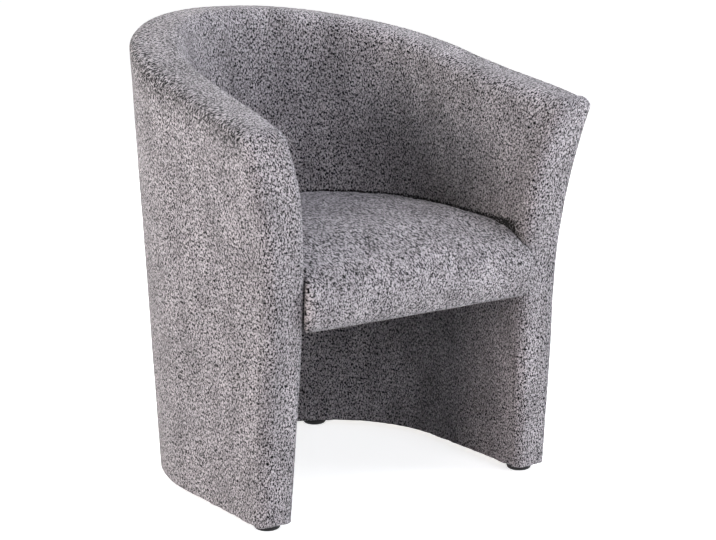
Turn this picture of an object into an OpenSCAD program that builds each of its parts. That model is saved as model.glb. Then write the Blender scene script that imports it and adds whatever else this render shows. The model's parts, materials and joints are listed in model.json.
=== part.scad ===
// Tub chair: a padded wall that runs round the back and both arms in one sweep, with a
// separate D-shaped seat unit bolted between its arms and four low glides under its base.
// The frame is in millimetres, +Z up, front towards -Y, the floor at Z = 0.

/* [Overall shape] */
// Height of the back at its highest point
overall_height = 770; // [740:5:800]
// Height of the arms at their front ends
arm_height = 642; // [620:2:664]
// Width of the wall at the floor
base_width = 580; // [560:2:610]
// How far each arm leans out at its front top
arm_flare = 51; // [30:1:60]
// Height at which the arms start to lean out
waist_height = 247; // [200:1:290]
// How late the lean of the arms sets in, 1 is a straight lean
flare_power = 2.46; // [2:0.02:3]
// How far each side of the back leans out at the top
back_flare = 35; // [20:1:45]
// Length of the straight arm at the floor
arm_run = 230; // [210:1:250]
// How far the arm front leans forward at its top
arm_rake = 44; // [20:1:55]
// Depth of the round back at the floor
back_run = 288; // [270:1:305]
// How far the back leans backwards at the top
back_lean = 62; // [40:1:75]
// How the rim climbs to the back, 1 is a straight climb
rim_power = 1.13; // [1:0.01:1.3]

/* [Wall build-up] */
// Thickness of the wall at the floor
wall_base_t = 60.5; // [59:0.5:66]
// Thickness of the wall in its upper part
wall_top_t = 84; // [76:1:92]
// Height at which the wall reaches its full thickness
full_t_height = 600; // [540:5:640]
// Radius of the rounding along the rim
top_round = 24; // [20:1:28]
// Radius of the rounding at the arm front's upright edges
front_round = 18; // [14:1:19]
// Thickness of the woven cover fabric
cover_t = 1.2; // [1:0.1:1.6]
// Thickness of the wadding under the outer cover
wadding_t = 4; // [3:0.5:5]
// Thickness of the bent boards
panel_t = 3; // [2.5:0.5:4]
// Depth of the timber frame between the boards
frame_t = 30; // [26:1:32]
// Thickness of the foam on the front of each arm
front_pad = 20; // [19.5:0.5:24]
// Clearance left between neighbouring layers
fit_gap = 0.3; // [0.2:0.05:0.4]

/* [Frame timbers] */
// Thickness of the horseshoe plate at the bottom
base_plate_t = 18; // [15:1:22]
// Height of the top rail
top_rail_h = 20; // [16:1:24]
// Height of the seat bearer inside the wall
bearer_h = 60; // [50:2:66]
// Width of each front post along the arm
post_w = 45; // [38:1:50]
// Width of each stud
stud_w = 30; // [24:1:36]
// Width of the fabric hem turned in under the base
hem_w = 18; // [14:1:20]

/* [Seat] */
// Height of the seat's underside
seat_underside = 318; // [305:1:330]
// Height of the seat's sides, from its underside to its top edge
seat_side_h = 122; // [115:1:130]
// How far the middle of the seat swells above its edge
seat_crown = 9; // [5:1:16]
// How far the seat's front roll stands in front of the arms
seat_proud = 18; // [8:1:24]
// Clearance between the seat and the wall
seat_gap = 0.5; // [0.4:0.05:0.7]
// Height of the seat rails
seat_rail_h = 52; // [46:1:56]
// Thickness of the seat rails
seat_rail_t = 20; // [17:1:24]
// Width of one webbing band
band_w = 50; // [40:2:56]
// Thickness of one webbing band
band_t = 1.6; // [1.2:0.1:2.2]
// Thickness of the black lining under the seat
lining_t = 0.6; // [0.4:0.1:1]

/* [Glides and fixings] */
// Height of a glide under the base
foot_height = 12; // [10:0.5:16]
// Radius of a glide
foot_r = 21; // [16:0.5:24]
// Radius of a glide screw and of a frame screw
screw_r = 2; // [1.6:0.1:2.4]
// Radius of a seat bolt
bolt_r = 4; // [3:0.25:4.5]

/* [Hidden] */

// Cells along one straight arm, along the round back, and in each rounded edge
arm_steps = 4;
arc_steps = 24;
round_steps = 3;
// Cells of the wall's height below and above the seat bearer
lower_steps = 2;
upper_steps = 4;
// Overrun of every cut
cut_over = 1;
$fn = 48;

// Depths of the layers, measured inwards from the wall's outer face
wadding_d = cover_t + fit_gap;
board_d = wadding_d + wadding_t + fit_gap;
frame_d = board_d + panel_t + fit_gap;
inner_board_d = frame_d + frame_t + fit_gap;
foam_d = inner_board_d + panel_t + fit_gap;
lining_d = cover_t + fit_gap;

// Heights of the wall's parts
wall_bottom = foot_height;
base_z = wall_bottom + cover_t + fit_gap;
base_top = base_z + base_plate_t;
bearer_top = seat_underside + bearer_h;
seat_edge_height = seat_underside + seat_side_h;

// Plan curves of the wall at a height: half width at the arm front and where the round back
// starts, reach of the arm towards the front, reach of the back, and thickness
function flare_share(z) = pow(max(0, z - waist_height) / (arm_height - waist_height), flare_power);
function arm_half(z) = base_width / 2 + arm_flare * flare_share(z);
function back_half(z) = base_width / 2 + back_flare * z / overall_height;
function arm_reach(z) = arm_run + arm_rake * z / arm_height;
function back_reach(z) = back_run + back_lean * z / overall_height;
function wall_t(z) = wall_base_t + (wall_top_t - wall_base_t) * min(z / full_t_height, 1);

// Direction and length of the straight arm, and outward normals, on the right-hand side
function arm_vector(z) = [back_half(z) - arm_half(z), arm_reach(z)];
function arm_length(z) = norm(arm_vector(z));
function unit(v) = v / norm(v);
function arm_normal(z) = unit([arm_vector(z)[1], -arm_vector(z)[0]]);
function blend_normal(share, z) = unit(arm_normal(z) * (1 - share) + [1, 0] * share);
function arc_normal(angle, z) = unit([back_reach(z) * cos(angle), back_half(z) * sin(angle)]);

// A point of the wall: station 0 is the right arm's front, 1 where the round back starts,
// 2 the middle of the back, 3 and 4 the same on the left; depth runs in from the outer face
function right_plan(m, z, depth) = m <= 1
    ? [arm_half(z), -arm_reach(z)] + arm_vector(z) * m - blend_normal(m, z) * depth
    : [back_half(z) * cos(90 * (m - 1)), back_reach(z) * sin(90 * (m - 1))]
      - arc_normal(90 * (m - 1), z) * depth;

// Middle of the whole chair from front to back, which is the frame's origin: the arm front
// reaches furthest forward in the rounding of its inner top corner
arm_shoulder = arm_height - top_round;
tip_r = top_round - front_round;
function tip_y(a) = right_plan(0, arm_shoulder + tip_r * sin(a),
                               wall_t(arm_shoulder) - top_round + tip_r * cos(a))[1];
plan_front = min([for (i = [0 : round_steps]) tip_y(90 * i / round_steps)]);
plan_middle = (plan_front + back_reach(overall_height - top_round)) / 2;
function right_point(m, z, depth) = [right_plan(m, z, depth)[0],
                                     right_plan(m, z, depth)[1] - plan_middle, z];
function flip_x(p) = [-p[0], p[1], p[2]];
function wall_point(s, z, depth) = s <= 2 ? right_point(s, z, depth)
                                          : flip_x(right_point(4 - s, z, depth));
function plan_point(s, z, depth) = [wall_point(s, z, depth)[0], wall_point(s, z, depth)[1]];

// Station of a place that lies a distance behind the arm's front
function front_station(back, z) = back / arm_length(z);

// The wall is drawn through numbered stations, 0 at the right arm's trimmed front, 1 behind
// the front post, then along the arm, round the back and forward along the left arm
last_stop = 2 * arm_steps + arc_steps;
post_end = front_pad + fit_gap + post_w;
function arm_station(k, z, back) = let (post = front_station(post_end, z))
    k == 0 ? front_station(back, z) : post + (1 - post) * (k - 1) / (arm_steps - 1);
function station(k, z, back) = k < arm_steps ? arm_station(k, z, back)
    : k > arm_steps + arc_steps ? 4 - arm_station(last_stop - k, z, back)
    : 1 + 2 * (k - arm_steps) / arc_steps;

// Height of the rim over a station: it climbs from the arm to the back
function rim_y(m) = m <= 1 ? -arm_reach(arm_height) * (1 - m)
                           : back_reach(overall_height) * sin(90 * (m - 1));
function rim_share(s) = (rim_y(min(s, 4 - s)) + arm_reach(arm_height))
                        / (arm_reach(arm_height) + back_reach(overall_height));
function rim_z(k) = arm_height + (overall_height - arm_height)
    * pow(max(0, rim_share(station(k, arm_height, 0))), rim_power);
function shoulder_z(k) = rim_z(k) - top_round;
function rail_z(k) = shoulder_z(k) - top_rail_h;

// Levels that every layer of the wall shares, from its lower to its upper end
lower_levels = [for (i = [0 : lower_steps]) base_top + (seat_underside - base_top) * i / lower_steps];
function upper_levels(k) = [for (i = [0 : upper_steps])
    bearer_top + (rail_z(k) - bearer_top) * i / upper_steps];
function face_levels(k, bottom) = concat([bottom], lower_levels, upper_levels(k), [shoulder_z(k)]);

// Section of the wall's outside, drawn in by an inset: the outer face, over the rim, the inner
// face; each entry is a depth and a height, and back is the distance behind the arm's front
function outer_column(k, bottom, inset) = [for (z = face_levels(k, bottom)) [inset, z]];
function rim_column(k, inset) = let (t = wall_t(shoulder_z(k)), r = top_round - inset)
    concat([for (i = [1 : round_steps]) let (a = 90 * i / round_steps)
               [top_round - r * cos(a), shoulder_z(k) + r * sin(a)]],
           [for (i = [round_steps : -1 : 1]) let (a = 90 * i / round_steps)
               [t - top_round + r * cos(a), shoulder_z(k) + r * sin(a)]]);
function inner_column(k, bottom, inset) = let (zs = face_levels(k, bottom))
    [for (i = [len(zs) - 1 : -1 : 0]) [wall_t(zs[i]) - inset, zs[i]]];
function column_points(k, column, back) = [for (c = column)
    wall_point(station(k, c[1], back), c[1], c[0])];

// Faces between two like grids of points, an outer and an inner one, closed along the borders;
// the left half folds as the mirror image of the right half
function quad(a, b, c, d) = [[a, b, c], [a, c, d]];
function cross_quad(a, b, c, d) = [[a, b, d], [b, c, d]];
function fold_quad(left, a, b, c, d) = left ? cross_quad(a, b, c, d) : quad(a, b, c, d);
function flat(lists) = [for (l = lists) for (x = l) x];
module slab(outer, inner) {
    rows = len(outer);
    cols = len(outer[0]);
    half = rows * cols;
    function at(i, j) = i * cols + j;
    polyhedron(points = concat(flat(outer), flat(inner)), faces = flat(concat(
        [for (i = [0 : rows - 2], j = [0 : cols - 2])
            fold_quad(i >= (rows - 1) / 2, at(i, j), at(i, j + 1), at(i + 1, j + 1), at(i + 1, j))],
        [for (i = [0 : rows - 2], j = [0 : cols - 2])
            fold_quad(i >= (rows - 1) / 2, half + at(i, j), half + at(i + 1, j),
                      half + at(i + 1, j + 1), half + at(i, j + 1))],
        [for (i = [0 : rows - 2]) quad(at(i, 0), at(i + 1, 0), half + at(i + 1, 0), half + at(i, 0))],
        [for (i = [0 : rows - 2]) let (j = cols - 1)
            quad(at(i + 1, j), at(i, j), half + at(i, j), half + at(i + 1, j))],
        [for (j = [0 : cols - 2]) quad(at(0, j + 1), at(0, j), half + at(0, j), half + at(0, j + 1))],
        [for (j = [0 : cols - 2]) let (i = rows - 1)
            cross_quad(at(i, j), at(i, j + 1), half + at(i, j + 1), half + at(i, j))])));
}

// A layer of the wall between two depths, each a function of the height, drawn through a list
// of stations; its levels are a function of the station, listed upwards outside the frame and
// downwards inside it, so that neighbouring layers fold along the same lines
module layer(stops, levels, near_depth, far_depth) {
    function grid(depth) = [for (k = stops) [for (z = levels(k))
        wall_point(station(k, z, front_pad + fit_gap), z, depth(z))]];
    slab(grid(near_depth), grid(far_depth));
}
all_stops = [0 : last_stop];
function reversed(list) = [for (i = [len(list) - 1 : -1 : 0]) list[i]];

// Rings of the padded arm front, from its back edge round to its flat face
function front_ring(angle, bottom, inset) = let (r = front_round - inset)
    front_outline(inset + r * (1 - cos(angle)), bottom, inset + r * (1 - sin(angle)));
function front_outline(inset, bottom, back) = reversed(column_points(0, concat(
    outer_column(0, bottom, inset), rim_column(0, inset), inner_column(0, bottom, inset)), back));
function front_rings(bottom, inset) = [for (i = [0 : round_steps])
    front_ring(90 * i / round_steps, bottom, inset)];

// Faces of a rounded arm front: its sides, its flat face and its underside
function side_faces(n, cols, start) = flat([for (i = [0 : n - 2], j = [0 : cols - 2])
    quad(start + i * cols + j, start + i * cols + j + 1,
         start + (i + 1) * cols + j + 1, start + (i + 1) * cols + j)]);
function rung_faces(row, cols, start) = let (o = start + row * cols) flat([for (k = [0 : cols / 2 - 2])
    quad(o + k, o + k + 1, o + cols - 2 - k, o + cols - 1 - k)]);
function under_faces(n, cols, start) = flat([for (i = [0 : n - 2])
    quad(start + i * cols, start + (i + 1) * cols,
         start + (i + 2) * cols - 1, start + (i + 1) * cols - 1)]);
function turned(faces) = [for (f = faces) [f[0], f[2], f[1]]];

module front_pad_solid() {
    rings = concat([front_outline(lining_d, base_z, front_pad - 2 * fit_gap)],
                   front_rings(base_z, lining_d));
    n = len(rings);
    cols = len(rings[0]);
    polyhedron(points = flat(rings), faces = concat(
        side_faces(n, cols, 0), rung_faces(n - 1, cols, 0), under_faces(n, cols, 0),
        turned(rung_faces(0, cols, 0))));
}

module front_cover_shell() {
    outside = front_rings(wall_bottom, 0);
    inside = front_rings(wall_bottom + cover_t, cover_t);
    n = len(outside);
    cols = len(outside[0]);
    half = n * cols;
    function edge(k) = quad((k + 1) % cols, k, half + k, half + (k + 1) % cols);
    polyhedron(points = concat(flat(outside), flat(inside)), faces = concat(
        side_faces(n, cols, 0), rung_faces(n - 1, cols, 0), under_faces(n, cols, 0),
        turned(concat(side_faces(n, cols, half), rung_faces(n - 1, cols, half),
                      under_faces(n, cols, half))),
        flat([for (k = [0 : cols - 1]) edge(k)])));
}

// A horseshoe board seen from above, from the frame's outer side to the inner cover; it keeps
// inside the wall at both its lower and its upper face
function stop_plan(k, z0, z, depth) =
    plan_point(station(k, z, front_pad + fit_gap + arm_reach(z) - arm_reach(z0)), z, depth);
pivot = [0, -plan_middle];
function spread(p) = p[1] < pivot[1] ? abs(p[0]) : norm(p - pivot);
function closer(a, b) = spread(a) < spread(b) ? a : b;
function further(a, b) = spread(a) < spread(b) ? b : a;
module horseshoe(z0, z1) {
    polygon(concat(
        [for (k = all_stops) closer(stop_plan(k, z0, z0, frame_d), stop_plan(k, z0, z1, frame_d))],
        reversed([for (k = all_stops) further(stop_plan(k, z0, z0, wall_t(z0) - lining_d),
                                              stop_plan(k, z0, z1, wall_t(z1) - lining_d))])));
}

// Studs stand in the cells of the round back that these shares of it fall in; screws hold
// the base plate to them and to the posts
screw_head_r = screw_r * 2;
screw_head_h = screw_r * 1.5;
screw_l = base_plate_t + screw_r * 10;
screw_clear = screw_r / 20;
stud_shares = [0.146, 0.354, 0.479, 0.521, 0.646, 0.854];
stud_cells = [for (share = stud_shares) floor(arc_steps * share)];
post_screw_shares = [0.28, 0.72];
frame_middle_d = frame_d + frame_t / 2;
function post_screw(share) = front_station(front_pad + fit_gap + post_w * share, base_top);
function screw_places() = concat(
    [for (share = post_screw_shares) post_screw(share)],
    [for (cell = stud_cells) station(arm_steps + cell + 0.5, base_top, 0)],
    [for (share = post_screw_shares) 4 - post_screw(share)]);
module at_screws() {
    for (s = screw_places())
        translate(concat(plan_point(s, base_top, frame_middle_d), [base_z])) children();
}
module screw(clear) {
    rotate_extrude() polygon([[0, 0], [screw_head_r + clear, 0], [screw_r + clear, screw_head_h],
                              [screw_r + clear, screw_l + clear], [0, screw_l + clear]]);
}
module screw_cut() {
    screw(screw_clear);
    translate([0, 0, -cut_over]) cylinder(r = screw_head_r + screw_clear, h = cut_over);
}

// Glides: two behind the arm fronts and two under the round back
foot_front_back = foot_r * 1.62;
foot_back_share = 0.68;
foot_top_r = foot_r;
foot_floor_r = foot_r * 0.9;
foot_chamfer = foot_height * 0.25;
foot_screw_l = cover_t + fit_gap + base_plate_t * 0.85;
foot_recess_r = screw_head_r * 1.8;
foot_recess_h = foot_height * 0.5;
foot_middle_d = wall_t(wall_bottom) / 2;
function foot_place(right, front) = let (
        s = front ? front_station(foot_front_back, wall_bottom) : 1 + foot_back_share,
        p = plan_point(s, wall_bottom, foot_middle_d)) [right ? p[0] : -p[0], p[1], 0];
module foot() {
    difference() {
        rotate_extrude() polygon([[0, 0], [foot_floor_r, 0], [foot_top_r, foot_chamfer],
                                  [foot_top_r, foot_height], [0, foot_height]]);
        translate([0, 0, -cut_over]) cylinder(r = foot_recess_r, h = foot_recess_h + cut_over);
        cylinder(r = screw_r + screw_clear, h = foot_height + cut_over);
    }
}
module foot_screw(clear) {
    translate([0, 0, foot_recess_h - screw_head_h])
        cylinder(r = screw_head_r, h = screw_head_h);
    translate([0, 0, foot_recess_h])
        cylinder(r = screw_r + clear, h = foot_height - foot_recess_h + foot_screw_l + clear);
}
module at_feet() {
    for (right = [true, false], front = [true, false]) translate(foot_place(right, front)) children();
}

// The seat's outline from above: it follows the wall's inner face and has a straight front;
// the front face is a roll, with a low quarter, an upright stretch and a long upper quarter
roll_low_h = 37;
roll_low_d = 35;
roll_top_d = 150;
edge_round_h = 12;
edge_round_d = 20;
rail_z0 = seat_underside + cover_t + fit_gap;
rail_top = rail_z0 + seat_rail_h;
band_z = rail_top + fit_gap;
foam_z0 = band_z + 2 * band_t + 2 * fit_gap;
nose_low = seat_underside + roll_low_h;
nose_high = foam_z0;
seat_front_y = -arm_reach((nose_low + nose_high) / 2) - seat_proud - plan_middle;
function quarter(depth, share) = depth * (1 - sqrt(max(0, 1 - share * share)));
function roll_setback(z) = z < nose_low ? quarter(roll_low_d, (nose_low - z) / roll_low_h)
    : z > nose_high ? quarter(roll_top_d, (z - nose_high) / (seat_edge_height - nose_high)) : 0;
function side_inset(z) = quarter(edge_round_d, max(0, z - seat_edge_height + edge_round_h) / edge_round_h);
function seat_side_d(z, inset) = wall_t(z) + seat_gap + side_inset(z) + inset;
function seat_front(z, inset) = seat_front_y + roll_setback(z) + inset;
function seat_station(z, y, depth) = let (near = right_point(0, z, depth), far = right_point(1, z, depth))
    (y - near[1]) / (far[1] - near[1]);
front_cells = 6;
seat_arm_steps = 2;
seat_corner_r = 14;
corner_angles = [60, 30, 0];
function seat_ring(z, inset, lift) = let (
        depth = seat_side_d(z, inset), y = seat_front(z, inset), r = seat_corner_r - inset,
        start = seat_station(z, y + r, depth), corner = right_point(start, z, depth)[0] - r,
        arm = [for (i = [0 : seat_arm_steps - 1])
            right_point(start + (1 - start) * i / seat_arm_steps, z, depth)],
        arc = [for (i = [0 : arc_steps / 2]) right_point(1 + 2 * i / arc_steps, z, depth)],
        turn = [for (a = corner_angles) [corner + r * sin(a), y + r * (1 - cos(a)), z]],
        right = concat(reversed(turn), arm, arc), n = len(right))
    [for (p = concat([for (q = right) flip_x(q)], [for (i = [n - 2 : -1 : 0]) right[i]],
                     [for (i = [1 : front_cells - 1]) [corner * (1 - 2 * i / front_cells), y, z]]))
        [p[0], p[1], z + lift]];

// Rings of the seat's sides, then rings of its crown that close in on the middle
low_shares = [0, 0.22, 0.6, 1];
high_shares = [0, 0.36, 0.64, 0.84, 0.94, 1];
crown_shares = [0.25, 0.5, 0.75];
function side_levels(from) = [for (z = concat([for (k = low_shares) seat_underside + roll_low_h * k],
        [for (k = high_shares) nose_high + (seat_edge_height - nose_high) * k])) if (z >= from) z];
function crown_middle() = [0, (seat_front(seat_edge_height, 0)
    + right_point(2, seat_edge_height, seat_side_d(seat_edge_height, 0))[1]) / 2, 0];
function crown_top(drop) = crown_middle() + [0, 0, seat_edge_height + seat_crown - drop];
function crown_ring(share, inset) = [for (p = seat_ring(seat_edge_height, inset, -inset))
    [p[0] * (1 - share), p[1] + (crown_middle()[1] - p[1]) * share,
     p[2] + seat_crown * (1 - pow(1 - share, 2))]];

module dome(rings, top, bottom) {
    rows = len(rings);
    cols = len(rings[0]);
    n = rows * cols;
    function next(j) = (j + 1) % cols;
    polyhedron(points = concat(flat(rings), [top, bottom]), faces = flat(concat(
        [for (i = [0 : rows - 2], j = [0 : cols - 1])
            quad(i * cols + j, i * cols + next(j), (i + 1) * cols + next(j), (i + 1) * cols + j)],
        [[for (j = [0 : cols - 1]) [(rows - 1) * cols + j, (rows - 1) * cols + next(j), n]],
         [for (j = [0 : cols - 1]) [next(j), j, n + 1]]])));
}

module dome_shell(outside, out_top, inside, in_top) {
    rows = len(outside);
    cols = len(outside[0]);
    n = rows * cols;
    function next(j) = (j + 1) % cols;
    function wall(o) = [for (i = [0 : rows - 2], j = [0 : cols - 1])
        quad(o + i * cols + j, o + i * cols + next(j), o + (i + 1) * cols + next(j), o + (i + 1) * cols + j)];
    function cap(o, tip) = let (last = o + (rows - 1) * cols)
        [for (j = [0 : cols - 1]) [last + j, last + next(j), tip]];
    polyhedron(points = concat(flat(outside), flat(inside), [out_top, in_top]), faces = concat(
        flat(wall(0)), cap(0, 2 * n), turned(flat(wall(n))), turned(cap(n, 2 * n + 1)),
        flat([for (j = [0 : cols - 1]) quad(next(j), j, n + j, n + next(j))])));
}

// Plan of the seat frame: a place is a distance behind the arm's front and a distance in from
// the seat's side, both at the height of the seat's underside
function inner_arm(z) = arm_half(z) - wall_t(z);
function inner_back(z) = back_reach(z) - wall_t(z);
seat_squeeze = max(0, inner_arm(seat_underside) - inner_arm(rail_top),
                   inner_back(seat_underside) - inner_back(rail_top));
seat_skin = seat_gap + cover_t + fit_gap + seat_squeeze;
rail_front_y = seat_front(seat_underside, 0) + seat_corner_r + fit_gap;
function frame_depth(inset) = wall_t(seat_underside) + seat_skin + inset;
function frame_station(y, inset) = seat_station(seat_underside, y, frame_depth(inset));
function frame_point(y, inset) = plan_point(frame_station(y, inset), seat_underside, frame_depth(inset));
function mirrored(p) = [-p[0], p[1]];
side_rail_y = rail_front_y + seat_rail_t + fit_gap;
function arc_plan(inset) = [for (i = [0 : arc_steps])
    plan_point(1 + 2 * i / arc_steps, seat_underside, frame_depth(inset))];
module seat_plan(inset) {
    y = rail_front_y + inset;
    polygon(concat([frame_point(y, inset)], arc_plan(inset), [mirrored(frame_point(y, inset))]));
}

// Webbing bands on the seat frame
band_gap = band_w * 0.6;
bands_each_way = 5;
band_inset = seat_rail_t / 3;

// Seat bolts: two through each side rail into the seat bearer
bolt_shares = [0.42, 0.8];
bolt_z = rail_z0 + seat_rail_h * 0.45;
bolt_clear = bolt_r / 10;
washer_r = bolt_r * 2.4;
washer_t = bolt_r * 0.4;
bolt_head_r = bolt_r * 1.75;
bolt_head_h = bolt_r * 1.3;
tee_flange_r = bolt_r * 2.6;
tee_flange_t = bolt_r * 0.4;
tee_barrel_r = bolt_r * 1.3;
tee_barrel_l = bolt_r * 2.4;
rail_inner_x = -frame_depth(seat_rail_t) - 2 * fit_gap;
tee_x = -frame_d;
module at_bolts() {
    for (side = [1, -1], m = bolt_shares) {
        normal = blend_normal(m, seat_underside);
        place = plan_point(m, seat_underside, 0);
        mirror([side < 0 ? 1 : 0, 0, 0]) translate([place[0], place[1], bolt_z])
            rotate([0, 0, atan2(normal[1], normal[0])]) children();
    }
}
module along_x(from, r, l) {
    translate([from, 0, 0]) rotate([0, 90, 0]) cylinder(r = r, h = l);
}
module bolt_cut() {
    along_x(rail_inner_x - cut_over, bolt_r + bolt_clear, cut_over - rail_inner_x);
}

// Staples: crowns that lie flat on the turned hems
staple_w = 10;
staple_t = 0.7;
staple_d = 1.4;
hem_staple_d = hem_w / 2;
hem_staple_stops = [1, 2, 3, for (i = [1 : 2 : arc_steps - 1]) arm_steps + i,
                    for (k = [3, 2, 1]) last_stop - k];
module staple(p, angle) {
    translate([p[0], p[1], 0]) rotate([0, 0, angle])
        translate([-staple_w / 2, -staple_d / 2, 0]) cube([staple_w, staple_d, staple_t]);
}
function path_angle(s, depth) = let (
        a = plan_point(s - 0.02, wall_bottom, depth), b = plan_point(s + 0.02, wall_bottom, depth))
    atan2(b[1] - a[1], b[0] - a[0]);

// Frame of the wall
module base_plate() {
    color("burlywood") difference() {
        translate([0, 0, base_z]) linear_extrude(base_plate_t)
            horseshoe(base_z, base_top);
        at_screws() screw_cut();
        at_feet() foot_screw(screw_clear);
    }
}
module front_post_right() {
    post_levels = concat([base_top + fit_gap], [for (i = [1 : lower_steps]) lower_levels[i]],
        [for (i = [0 : upper_steps - 1]) upper_levels(0)[i]], [rail_z(0) - fit_gap]);
    color("tan") difference() {
        layer([0, 1], function (k) post_levels, function (z) frame_d,
              function (z) frame_d + frame_t - 2 * fit_gap);
        at_screws() screw_cut();
    }
}
module front_post_left() {
    mirror([1, 0, 0]) front_post_right();
}
module studs(levels) {
    function half_share(z) = stud_w * arc_steps / (2 * PI * back_reach(z));
    function edge(cell, turn, z) = arm_steps + cell + 0.5 + turn * half_share(z);
    function side(cell, turn, depth) = [for (z = levels(edge(cell, turn, bearer_top)))
        wall_point(station(edge(cell, turn, z), z, 0), z, depth)];
    for (cell = stud_cells) slab([for (turn = [-1, 1]) side(cell, turn, frame_d + fit_gap)],
                                 [for (turn = [-1, 1]) side(cell, turn, frame_d + frame_t - fit_gap)]);
}
module lower_studs() {
    color("tan") difference() {
        studs(function (k) [base_top + fit_gap, lower_levels[1], seat_underside - fit_gap]);
        at_screws() screw_cut();
    }
}
module upper_studs() {
    color("tan") studs(function (k) concat([bearer_top + fit_gap],
        [for (i = [1 : upper_steps - 1]) upper_levels(k)[i]], [rail_z(k) - 2 * fit_gap]));
}
module seat_bearer() {
    notch = front_station(post_end + fit_gap, seat_underside);
    color("burlywood") difference() {
        translate([0, 0, seat_underside]) linear_extrude(bearer_h) difference() {
            horseshoe(seat_underside, bearer_top);
            for (side = [0, 1]) mirror([side, 0]) polygon([
                plan_point(-notch, seat_underside, 0), plan_point(notch, seat_underside, 0),
                plan_point(notch, seat_underside, inner_board_d),
                plan_point(-notch, seat_underside, inner_board_d)]);
        }
        at_bolts() bolt_cut();
        at_bolts() along_x(tee_x - tee_flange_t - bolt_clear, tee_flange_r + bolt_clear,
                           tee_flange_t + cut_over);
        at_bolts() along_x(tee_x - tee_flange_t - tee_barrel_l - bolt_clear, tee_barrel_r + bolt_clear,
                           tee_barrel_l + tee_flange_t);
    }
}
module top_rail() {
    color("burlywood") layer(all_stops, function (k) [rail_z(k), shoulder_z(k)],
        function (z) frame_d, function (z) frame_d + frame_t - 2 * fit_gap);
}

// Boards and padding of the wall
function outside_levels(k) = face_levels(k, base_z);
function above_seat_levels(k) = concat([shoulder_z(k)], reversed(upper_levels(k)));
function below_seat_levels(k) = [seat_underside, lower_levels[1], base_top + fit_gap];
module inner_layer(levels, near_depth, far_depth) {
    layer(all_stops, levels, far_depth, near_depth);
}
module outer_board() {
    color("peru") layer(all_stops, function (k) outside_levels(k),
        function (z) board_d, function (z) board_d + panel_t);
}
module outer_wadding() {
    color("white") layer(all_stops, function (k) outside_levels(k),
        function (z) wadding_d, function (z) wadding_d + wadding_t);
}
module inner_board_upper() {
    color("peru") inner_layer(function (k) above_seat_levels(k),
        function (z) inner_board_d, function (z) inner_board_d + panel_t);
}
module inner_board_lower() {
    color("peru") inner_layer(function (k) below_seat_levels(k),
        function (z) inner_board_d, function (z) inner_board_d + panel_t);
}
module back_foam() {
    color("khaki") inner_layer(function (k) above_seat_levels(k),
        function (z) foam_d, function (z) wall_t(z) - lining_d);
}
module skirt_foam() {
    color("khaki") inner_layer(function (k) below_seat_levels(k),
        function (z) foam_d, function (z) wall_t(z) - lining_d);
}
module rim_foam() {
    function arch(k) = concat([[lining_d, shoulder_z(k) + 3 * fit_gap]], rim_column(k, lining_d),
        [[wall_t(shoulder_z(k)) - lining_d, shoulder_z(k) + 3 * fit_gap]]);
    function floor_line(k) = [for (c = arch(k)) [c[0], shoulder_z(k) + 2 * fit_gap]];
    color("khaki") slab(
        [for (k = all_stops) column_points(k, arch(k), front_pad + fit_gap)],
        [for (k = all_stops) column_points(k, floor_line(k), front_pad + fit_gap)]);
}
module arm_front_foam_right() {
    color("khaki") front_pad_solid();
}
module arm_front_foam_left() {
    mirror([1, 0, 0]) arm_front_foam_right();
}
module outer_cover() {
    function section(k, inset) = concat([[hem_w, wall_bottom + inset]],
        outer_column(k, wall_bottom + inset, inset));
    function skin(inset) = [for (k = all_stops) column_points(k, section(k, inset), front_round)];
    color("gray") slab(skin(0), skin(cover_t));
}
module inner_cover() {
    function section(k, inset) = concat([[inset, shoulder_z(k) + fit_gap]], rim_column(k, inset),
        inner_column(k, wall_bottom + inset, inset),
        [[wall_t(wall_bottom) - hem_w, wall_bottom + inset]]);
    function skin(inset) = [for (k = all_stops) column_points(k, section(k, inset), front_round)];
    color("darkgray") difference() {
        slab(skin(0), skin(cover_t));
        at_bolts() bolt_cut();
    }
}
module arm_front_cover_right() {
    color("silver") front_cover_shell();
}
module arm_front_cover_left() {
    mirror([1, 0, 0]) arm_front_cover_right();
}

// Seat unit
module seat_front_rail() {
    color("burlywood") translate([0, 0, rail_z0]) linear_extrude(seat_rail_h) polygon([
        frame_point(rail_front_y, 0), frame_point(rail_front_y + seat_rail_t, 0),
        mirrored(frame_point(rail_front_y + seat_rail_t, 0)), mirrored(frame_point(rail_front_y, 0))]);
}
module seat_side_rail_right() {
    color("tan") difference() {
        translate([0, 0, rail_z0]) linear_extrude(seat_rail_h) polygon([
            frame_point(side_rail_y, 0), plan_point(1, seat_underside, frame_depth(0)),
            plan_point(1, seat_underside, frame_depth(seat_rail_t)), frame_point(side_rail_y, seat_rail_t)]);
        at_bolts() bolt_cut();
    }
}
module seat_side_rail_left() {
    mirror([1, 0, 0]) seat_side_rail_right();
}
module seat_back_rail() {
    color("burlywood") translate([0, fit_gap, rail_z0]) linear_extrude(seat_rail_h)
        polygon(concat(arc_plan(0), reversed(arc_plan(seat_rail_t))));
}
module seat_corner_blocks() {
    block_l = seat_rail_t * 2.2;
    inset = seat_rail_t + fit_gap;
    a = frame_point(side_rail_y + fit_gap, inset);
    b = frame_point(side_rail_y + fit_gap + block_l, inset);
    color("wheat") for (side = [0, 1]) mirror([side, 0, 0])
        translate([0, 0, rail_z0]) linear_extrude(seat_rail_h) polygon([a, b, [a[0] - block_l, a[1]]]);
}
module bands(z, turn) {
    middle = crown_middle()[1];
    span = base_width + arm_run + back_run;
    pitch = band_w + band_gap;
    translate([0, 0, z]) linear_extrude(band_t) intersection() {
        seat_plan(band_inset);
        translate([0, middle]) rotate(turn) for (i = [0 : bands_each_way - 1])
            translate([-span / 2, (i - (bands_each_way - 1) / 2) * pitch - band_w / 2])
                square([span, band_w]);
    }
}
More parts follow.
